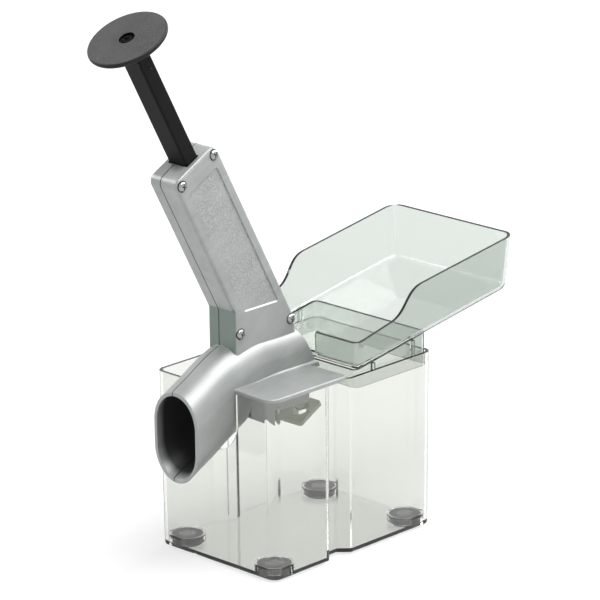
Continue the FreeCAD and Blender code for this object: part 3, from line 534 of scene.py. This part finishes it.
def cast_aluminium():
    material, tree, skin, place = start_material("satin_casting", CASTING_GREY, 0.36, 0.45)
    skin.inputs["Specular IOR Level"].default_value = 0.4
    grain, cloud = add_speckle(tree, place, 1500.0, 45.0)
    colour = ramp_between(tree, cloud, CASTING_GREY, CASTING_PALE)
    rubbed = tree.nodes.new("ShaderNodeGroup")
    rubbed.node_tree = STREAKS
    rubbed.inputs["Turn"].default_value = (0.0, -HEAD_LEAN, 0.0)
    rubbed.inputs["Stretch"].default_value = (28.0, 260.0, 260.0)
    tree.links.new(place, rubbed.inputs["Place"])
    streak = rubbed.outputs["Streak"]
    worn = held(tree, maths(tree, "MULTIPLY_ADD", streak, 2.6, -1.1))
    colour = shade_over(tree, maths(tree, "MULTIPLY", worn, 0.35), colour, CASTING_WORN)
    tree.links.new(maths(tree, "MULTIPLY_ADD", streak, 0.2, 0.3), skin.inputs["Roughness"])
    stipple = tree.nodes.new("ShaderNodeTexNoise")
    stipple.inputs["Scale"].default_value = 900.0
    tree.links.new(place, stipple.inputs["Vector"])
    panel = add_slab(tree, place, WAY_Y, PANEL_FRONT, 0.0002)
    upper = add_slab(tree, place, WAY_Z, PANEL_RISE, 0.02)
    sunk = maths(tree, "MULTIPLY", panel, upper)
    dots = held(tree, maths(tree, "MULTIPLY_ADD", stipple.outputs["Fac"], 7.0, -3.4))
    colour = shade_over(tree, maths(tree, "MULTIPLY", sunk, dots), colour, STIPPLE_PALE)
    # Painted highlight along the sunk panel's lower ledge.
    colour = shade_over(tree, sill_highlight_mask(tree, place), colour, SILL_PAINTED_HIGHLIGHT)
    # Painted shade on the tower's lower left-facing face.
    foot = add_slab(tree, place, WAY_X, FOOT_SIDE, 0.0004)
    low = add_slab(tree, place, WAY_Z, FOOT_RISE, 0.003)
    surface = tree.nodes.new("ShaderNodeNewGeometry")
    faces_right = vector_pair(tree, "DOT_PRODUCT", surface.outputs["True Normal"], WAY_X)
    upright = maths(tree, "LESS_THAN", faces_right, -FOOT_UPRIGHT)
    painted_foot_shade = maths(tree, "MULTIPLY", maths(tree, "MULTIPLY", foot, low), upright)
    colour = shade_over(tree, painted_foot_shade, colour, FOOT_PAINTED_SHADE)
    # Painted shade inside the chute's bore.
    colour = shade_over(tree, bore_painted_shade_mask(tree, place), colour, BORE_PAINTED_SHADE)
    seam = add_slab(tree, place, WAY_Y, (SEAM - SEAM_HALF, SEAM + SEAM_HALF), 0.00015)
    # The seam is a real dark joint; the rings round the screw heads are painted shade.
    lines = maths(tree, "MAXIMUM", seam, screw_ring_shade_mask(tree, place))
    colour = shade_over(tree, lines, colour, SEAM_AND_RING_SHADE)
    tree.links.new(colour, skin.inputs["Base Color"])
    coarse = maths(tree, "MULTIPLY", sunk, stipple.outputs["Fac"])
    height = maths(tree, "MULTIPLY_ADD", coarse, 6.0, grain)
    relief = maths(tree, "MULTIPLY_ADD", lines, -4.0, height)
    add_bump(tree, skin, relief, 0.00006, 0.0007)
    return material


CASTING = cast_aluminium()
print("finish", CASTING.name)

# %% [markdown]
# ### Mouldings
# The bar and its disc are black plastic with a fine spark-eroded grain. The
# tray and box are clear plastic: glass with a grey green tint that deepens
# where the wall is seen edge on, as a moulded wall does.

# %% Black mouldings
BAR_ACROSS = 0.0372
DISC_ALONG = 0.3278
DISC_MIDDLE = HEAD_ACROSS * BAR_ACROSS + HEAD_ALONG * DISC_ALONG + FRAME_SHIFT
DISC_HOLE = 0.0046
HOLE_PAINTED_SHADE = (0.001, 0.001, 0.001)
DISC_EDGE = 0.0216
DISC_REACH = 0.02592
RIM_BLACK = (0.008, 0.008, 0.008)
DUST_GREY = (0.2, 0.2, 0.2)


def black_moulding(name, deep, pale, gloss):
    material, tree, skin, place = start_material(name, deep, 0.5)
    grain, cloud = add_speckle(tree, place, 2200.0, 60.0)
    colour = ramp_between(tree, grain, deep, pale)
    colour = shade_over(tree, maths(tree, "MULTIPLY_ADD", cloud, 1.6, -0.55), colour, pale)
    away = vector_pair(tree, "DISTANCE", place, DISC_MIDDLE)
    specks = tree.nodes.new("ShaderNodeTexNoise")
    specks.inputs["Scale"].default_value = 1300.0
    tree.links.new(place, specks.inputs["Vector"])
    bright = held(tree, maths(tree, "MULTIPLY_ADD", specks.outputs["Fac"], 14.0, -9.6))
    on_disc = maths(tree, "LESS_THAN", away, DISC_EDGE)
    colour = shade_over(tree, maths(tree, "MULTIPLY", bright, on_disc), colour, DUST_GREY)
    rim = maths(tree, "GREATER_THAN", away, DISC_EDGE)
    near = maths(tree, "LESS_THAN", away, DISC_REACH)
    colour = shade_over(tree, maths(tree, "MULTIPLY", rim, near), colour, RIM_BLACK)
    # Painted shade in the disc's hole.
    hole = maths(tree, "LESS_THAN", away, DISC_HOLE)
    tree.links.new(shade_over(tree, hole, colour, HOLE_PAINTED_SHADE), skin.inputs["Base Color"])
    skin.inputs["Specular IOR Level"].default_value = gloss
    add_bump(tree, skin, grain, 0.00004, 0.0005)
    return material


BAR_BLACK = black_moulding("black_bar", (0.004, 0.004, 0.0045), (0.009, 0.009, 0.0095), 0.08)
DISC_BLACK = black_moulding("black_disc", (0.03, 0.03, 0.031), (0.075, 0.075, 0.076), 0.25)
print("finishes", BAR_BLACK.name, DISC_BLACK.name)

# %% Clear mouldings
CLEAR_ROUGHNESS = 0.02
CLEAR_IOR = 1.5
FACING_BLEND = 0.3
FACING_ENDS = (0.45, 1.0)


def clear_moulding(name, face, edge):
    material, tree, skin, _ = start_material(name, face, CLEAR_ROUGHNESS)
    skin.inputs["Transmission Weight"].default_value = 1.0
    skin.inputs["IOR"].default_value = CLEAR_IOR
    facing = tree.nodes.new("ShaderNodeLayerWeight")
    facing.inputs["Blend"].default_value = FACING_BLEND
    colour = ramp_between(tree, facing.outputs["Facing"], face, edge, FACING_ENDS)
    tree.links.new(colour, skin.inputs["Base Color"])
    return material


BOX_CLEAR = clear_moulding("clear_box", (0.83, 0.838, 0.812), (0.08, 0.1, 0.088))
TRAY_CLEAR = clear_moulding("clear_tray", (0.62, 0.66, 0.625), (0.04, 0.055, 0.046))
print("finishes", BOX_CLEAR.name, TRAY_CLEAR.name)

# %% [markdown]
# ### Metal, rubber and the seat
# Screws are bright plated steel, the pin is ground, the feet are soft dark
# rubber, and the slit seat is an olive elastomer.

# %% Small finishes
STEEL_CLOUD = 200.0
RUBBER_CLOUD = 90.0


def steel(name, colour, roughness, grain_size, depth):
    material, tree, skin, place = start_material(name, colour, roughness, 1.0)
    grain, _ = add_speckle(tree, place, grain_size, STEEL_CLOUD)
    add_bump(tree, skin, grain, depth)
    return material


def soft_rubber(name, deep, pale, roughness, grain_size, depth):
    material, tree, skin, place = start_material(name, deep, roughness)
    grain, cloud = add_speckle(tree, place, grain_size, RUBBER_CLOUD)
    tree.links.new(ramp_between(tree, cloud, deep, pale), skin.inputs["Base Color"])
    add_bump(tree, skin, grain, depth)
    return material


FINISHES = {
    "cast_aluminium": CASTING,
    "black_plastic": BAR_BLACK,
    "clear_plastic": BOX_CLEAR,
    "bright_steel": steel("bright_steel", (0.33, 0.335, 0.33), 0.22, 700.0, 0.00002),
    "stainless": steel("ground_steel", (0.6, 0.6, 0.59), 0.3, 1200.0, 0.00003),
    # Near black: painted shade on the screw sunk in the disc's hole.
    "dark_steel": steel("dark_steel", (0.004, 0.004, 0.004), 0.6, 900.0, 0.00002),
    "foot_rubber": soft_rubber("foot_rubber", (0.02, 0.02, 0.019), (0.035, 0.035, 0.033),
                               0.55, 600.0, 0.00006),
    "seat_elastomer": soft_rubber("seat_elastomer", (0.33, 0.345, 0.26),
                                  (0.38, 0.395, 0.3), 0.45, 500.0, 0.00003),
}
OWN_FINISH = {"thumb_plate": DISC_BLACK, "cherry_tray": TRAY_CLEAR}
for name, piece in nodes.items():
    for slot in piece.material_slots:
        slot.material = OWN_FINISH.get(name) or FINISHES[slot.material.name.split(".")[0]]
print(len(FINISHES) + len(OWN_FINISH), "finishes")

# %% [markdown]
# ## Wound and turned parts
# A spring is one wire that follows a rule, and screws repeat, so both are
# Geometry Nodes trees: their sizes are inputs, and one tree serves them all.
# Each result becomes a plain mesh with its place in it, ready for a joint.

# %% Tree helpers
def new_tree(name, inputs):
    tree = bpy.data.node_groups.new(name, "GeometryNodeTree")
    tree.interface.new_socket("Geometry", in_out="INPUT", socket_type="NodeSocketGeometry")
    for label, kind, value in inputs:
        socket = tree.interface.new_socket(label, in_out="INPUT", socket_type=kind)
        if value is not None:
            socket.default_value = value
    tree.interface.new_socket("Geometry", in_out="OUTPUT", socket_type="NodeSocketGeometry")
    return tree, tree.nodes.new("NodeGroupInput"), tree.nodes.new("NodeGroupOutput")


def put(tree, kind, settings=None, **links):
    """Add a node; links name its inputs, with spaces written as underscores."""
    node = tree.nodes.new(kind)
    for label, value in (settings or {}).items():
        setattr(node, label, value)
    for label, value in links.items():
        socket = node.inputs[int(label[1:])] if label[1:].isdigit() else (
            node.inputs[label.replace("_", " ")])
        if isinstance(value, bpy.types.NodeSocket):
            tree.links.new(value, socket)
        else:
            socket.default_value = value
    return node


def close_tree(tree, out, shape, material):
    real = put(tree, "GeometryNodeRealizeInstances", Geometry=shape)
    coat = put(tree, "GeometryNodeSetMaterial", Geometry=real.outputs[0], Material=material)
    tree.links.new(coat.outputs[0], out.inputs[0])


def settled(source, name):
    """A plain mesh object of what the source and its modifier show, in its stead."""
    bpy.context.view_layer.update()
    shown = source.evaluated_get(bpy.context.evaluated_depsgraph_get())
    mesh = bpy.data.meshes.new_from_object(shown)
    mesh.name = name
    bpy.data.objects.remove(source)
    return linked(name, mesh)


def grown_mesh(name, start, tree, values):
    """Run a tree on a start mesh and keep the result as a plain mesh object."""
    source = linked(name + "_source", start)
    modifier = source.modifiers.new("grow", "NODES")
    modifier.node_group = tree
    for item in tree.interface.items_tree:
        if item.in_out == "INPUT" and item.name in values:
            modifier[item.identifier] = values[item.name]
    return settled(source, name)


print("tree helpers ready")

# %% [markdown]
# ### The return spring
# It lifts the plunger again after each cherry. The wire is wound evenly, and
# its last turn at each end lies closed and flat. A helix is drawn, its height
# is remapped so that the ends close, and a round wire is swept along it.

# %% Spring tree
SPRING_WIRE = 0.0009
SPRING_RADIUS = 0.0052
SPRING_TURNS = 16.0
SPRING_LOW = 0.1273
SPRING_HIGH = 0.22715
CLOSED_TURNS = 1.0
TURN_STEPS = 40
WIRE_SIDES = 10


def spring_tree():
    tree, given, out = new_tree("wound_spring", [
        ("Turns", "NodeSocketFloat", SPRING_TURNS),
        ("Radius", "NodeSocketFloat", SPRING_RADIUS),
        ("Wire", "NodeSocketFloat", SPRING_WIRE),
        ("Length", "NodeSocketFloat", SPRING_HIGH - SPRING_LOW),
        ("Closed turns", "NodeSocketFloat", CLOSED_TURNS),
        ("Material", "NodeSocketMaterial", None),
    ])
    size = given.outputs
    helix = put(tree, "GeometryNodeCurveSpiral", Resolution=TURN_STEPS, Rotations=size["Turns"],
                Start_Radius=size["Radius"], End_Radius=size["Radius"], Height=0.0)
    factor = put(tree, "GeometryNodeSplineParameter").outputs["Factor"]
    run = maths(tree, "SUBTRACT", size["Length"], size["Wire"])
    closed = maths(tree, "DIVIDE", size["Closed turns"], size["Turns"])
    wound = maths(tree, "MULTIPLY", size["Turns"], size["Wire"])
    even = put(tree, "ShaderNodeMapRange", {"interpolation_type": "LINEAR"}, Value=factor,
               From_Min=closed, From_Max=maths(tree, "SUBTRACT", 1.0, closed))
    rise = maths(tree, "MULTIPLY_ADD", even.outputs["Result"],
                 maths(tree, "SUBTRACT", run, wound), maths(tree, "MULTIPLY", factor, wound))
    lift = put(tree, "ShaderNodeCombineXYZ", Z=rise)
    moved = put(tree, "GeometryNodeSetPosition", Geometry=helix.outputs[0],
                Offset=lift.outputs[0])
    section = put(tree, "GeometryNodeCurvePrimitiveCircle", Resolution=WIRE_SIDES,
                  Radius=maths(tree, "MULTIPLY", size["Wire"], 0.5))
    wire = put(tree, "GeometryNodeCurveToMesh", Curve=moved.outputs[0],
               Profile_Curve=section.outputs[0], Fill_Caps=True)
    smooth = put(tree, "GeometryNodeSetShadeSmooth", Geometry=wire.outputs[0])
    close_tree(tree, out, smooth.outputs[0], size["Material"])
    return tree


def head_place(across, along):
    return HEAD_ACROSS * across + HEAD_ALONG * along + FRAME_SHIFT


spring = grown_mesh("wound_return_spring", bpy.data.meshes.new("spring_start"), spring_tree(), {
    "Turns": SPRING_TURNS,
    "Radius": SPRING_RADIUS,
    "Wire": SPRING_WIRE,
    "Length": SPRING_HIGH - SPRING_LOW,
    "Closed turns": CLOSED_TURNS,
    "Material": FINISHES["stainless"],
})
stand = Matrix.Translation(head_place(BAR_ACROSS, SPRING_LOW + SPRING_WIRE / 2))
lean = Matrix.Rotation(-HEAD_LEAN, 4, "Y")
spring.data.transform(stand @ lean)
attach(spring, "head")
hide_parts("return_spring")
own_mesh(spring)

# %% [markdown]
# ### The rear half's open corner
# The flange of the rear half stops behind the tower, and the box's back left
# corner stays open with its rim in view. The CAD half closes that corner, so a
# copy of it, merged to one skin, is cut open there with a plain block.

# %% Rear half
CRISP_ANGLE = math.radians(35.0)
MERGE_REACH = 1e-6


def smooth_by_angle(piece):
    """Merge doubles, face outwards, and keep edges sharper than the limit crisp."""
    shape = bmesh.new()
    shape.from_mesh(piece.data)
    bmesh.ops.remove_doubles(shape, verts=shape.verts, dist=MERGE_REACH)
    bmesh.ops.recalc_face_normals(shape, faces=shape.faces)
    for face in shape.faces:
        face.smooth = True
    for edge in shape.edges:
        edge.smooth = edge.calc_face_angle(0.0) < CRISP_ANGLE
    shape.to_mesh(piece.data)
    shape.free()


def plain_block(name, low, high):
    mesh = bpy.data.meshes.new(name)
    shape = bmesh.new()
    bmesh.ops.create_cube(shape, size=1.0)
    low, high = Vector(low), Vector(high)
    span = Matrix.Diagonal((*(high - low), 1.0))
    bmesh.ops.transform(shape, matrix=Matrix.Translation((low + high) / 2) @ span,
                        verts=shape.verts)
    shape.to_mesh(mesh)
    shape.free()
    return linked(name, mesh)


def cut_copy(name, node, low, high):
    """A merged copy of a CAD node with a block taken out of it."""
    whole = linked(name + "_whole", nodes[node].data.copy())
    smooth_by_angle(whole)
    block = plain_block(name + "_block", low, high)
    cut = whole.modifiers.new("cut", "BOOLEAN")
    cut.operation = "DIFFERENCE"
    cut.solver = "EXACT"
    cut.object = block
    piece = settled(whole, name)
    bpy.data.objects.remove(block)
    smooth_by_angle(piece)
    piece.data.materials.clear()
    piece.data.materials.append(CASTING)
    return piece


CORNER_LOW = (-0.075, 0.0176, 0.09)
CORNER_HIGH = (-0.016, 0.055, 0.1125)
rear_half = cut_copy("rear_cast_half", "housing_rear", CORNER_LOW, CORNER_HIGH)
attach(rear_half, "head")
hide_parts("housing_rear")
print("rear half", len(rear_half.data.polygons), "faces")

# %% [markdown]
# ### The screws
# Four pan heads close the tower and two small ones hold the seat. A head could
# be turned as a profile, but a flattened ball cut off below gives the same low
# dome, and two crossed bars cut the recess. The tree places one on each point
# of a start mesh and turns it a little, as a real driver leaves them.

# %% Screw tree
ARM_SHARE = 1.15
SLIT_SHARE = 0.27


def screw_tree():
    tree, given, out = new_tree("pan_screw", [
        ("Head radius", "NodeSocketFloat", SCREW_HEAD),
        ("Head height", "NodeSocketFloat", 0.0018),
        ("Shank radius", "NodeSocketFloat", 0.00145),
        ("Shank length", "NodeSocketFloat", 0.02),
        ("Turn", "NodeSocketVector", None),
        ("Seed", "NodeSocketInt", 3),
        ("Material", "NodeSocketMaterial", None),
    ])
    size = given.outputs
    radius = size["Head radius"]
    height = size["Head height"]
    ball = put(tree, "GeometryNodeMeshUVSphere", Segments=36, Rings=20, Radius=1.0)
    dome = put(tree, "ShaderNodeCombineXYZ", X=radius, Y=radius, Z=height)
    low_ball = put(tree, "GeometryNodeTransform", Geometry=ball.outputs["Mesh"],
                   Scale=dome.outputs[0])
    wide = maths(tree, "MULTIPLY", radius, 3.0)
    slab = put(tree, "ShaderNodeCombineXYZ", X=wide, Y=wide,
               Z=maths(tree, "MULTIPLY", height, 2.0))
    under = put(tree, "GeometryNodeMeshCube", Size=slab.outputs[0])
    sink = put(tree, "ShaderNodeCombineXYZ", Z=maths(tree, "MULTIPLY", height, -1.0))
    below = put(tree, "GeometryNodeTransform", Geometry=under.outputs["Mesh"],
                Translation=sink.outputs[0])
    bar_size = put(tree, "ShaderNodeCombineXYZ", X=maths(tree, "MULTIPLY", radius, ARM_SHARE),
                   Y=maths(tree, "MULTIPLY", radius, SLIT_SHARE), Z=height)
    bar = put(tree, "GeometryNodeMeshCube", Size=bar_size.outputs[0])
    high = put(tree, "ShaderNodeCombineXYZ", Z=height)
    first = put(tree, "GeometryNodeTransform", Geometry=bar.outputs["Mesh"],
                Translation=high.outputs[0])
    second = put(tree, "GeometryNodeTransform", Geometry=first.outputs[0],
                 Rotation=(0.0, 0.0, math.pi / 2))
    head = put(tree, "GeometryNodeMeshBoolean", {"operation": "DIFFERENCE"},
               _0=low_ball.outputs[0])
    for cutter in (below, first, second):
        tree.links.new(cutter.outputs[0], head.inputs["Mesh 2"])
    shank = put(tree, "GeometryNodeMeshCylinder", Vertices=24, Radius=size["Shank radius"],
                Depth=size["Shank length"])
    into = put(tree, "ShaderNodeCombineXYZ", Z=maths(tree, "MULTIPLY", size["Shank length"], -0.5))
    rod = put(tree, "GeometryNodeTransform", Geometry=shank.outputs["Mesh"],
              Translation=into.outputs[0])
    whole = put(tree, "GeometryNodeJoinGeometry")
    for part in (rod, head):
        tree.links.new(part.outputs[0], whole.inputs[0])
    spin = put(tree, "FunctionNodeRandomValue", {"data_type": "FLOAT"}, Seed=size["Seed"])
    spin.inputs[2].default_value = 0.0
    spin.inputs[3].default_value = math.pi / 2
    about = put(tree, "ShaderNodeCombineXYZ", Z=spin.outputs[1])
    aimed = put(tree, "FunctionNodeEulerToRotation", Euler=size["Turn"])
    spun = put(tree, "FunctionNodeEulerToRotation", Euler=about.outputs[0])
    turned = put(tree, "FunctionNodeRotateRotation", {"rotation_space": "LOCAL"})
    tree.links.new(aimed.outputs[0], turned.inputs["Rotation"])
    tree.links.new(spun.outputs[0], turned.inputs["Rotate By"])
    copies = put(tree, "GeometryNodeInstanceOnPoints", Points=size["Geometry"],
                 Instance=whole.outputs[0], Rotation=turned.outputs[0])
    close_tree(tree, out, copies.outputs[0], size["Material"])
    return tree


SCREWS = screw_tree()
print("tree", SCREWS.name)

# %% Screws in their places
def points_mesh(name, places):
    mesh = bpy.data.meshes.new(name)
    mesh.from_pydata([tuple(place) for place in places], [], [])
    return mesh


def set_screws(name, node, places, values):
    piece = grown_mesh(name, points_mesh(name + "_points", places), SCREWS, values)
    smooth_by_angle(piece)
    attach(piece, "head")
    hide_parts(node)
    print(name, len(piece.data.polygons), "faces")


HOUSING_PLACES = [Vector((across, SCREW_FACE, high)) for across, high in SCREW_AXES]
set_screws("housing_pan_screws", "housing_screws", HOUSING_PLACES, {
    "Head radius": SCREW_HEAD,
    "Head height": 0.0018,
    "Shank radius": 0.00145,
    "Shank length": 0.0199,
    "Turn": (math.pi / 2, 0.0, 0.0),
    "Seed": 3,
    "Material": FINISHES["bright_steel"],
})
SEAT_PLACES = [Vector((0.00534, 0.017, 0.06753)), Vector((0.01559, 0.017, 0.07297))]
set_screws("seat_pan_screws", "seat_screws", SEAT_PLACES, {
    "Head radius": 0.0024,
    "Head height": 0.0015,
    "Shank radius": 0.0012,
    "Shank length": 0.009,
    "Turn": (0.0, math.pi - HEAD_LEAN, 0.0),
    "Seed": 5,
    "Material": FINISHES["bright_steel"],
})
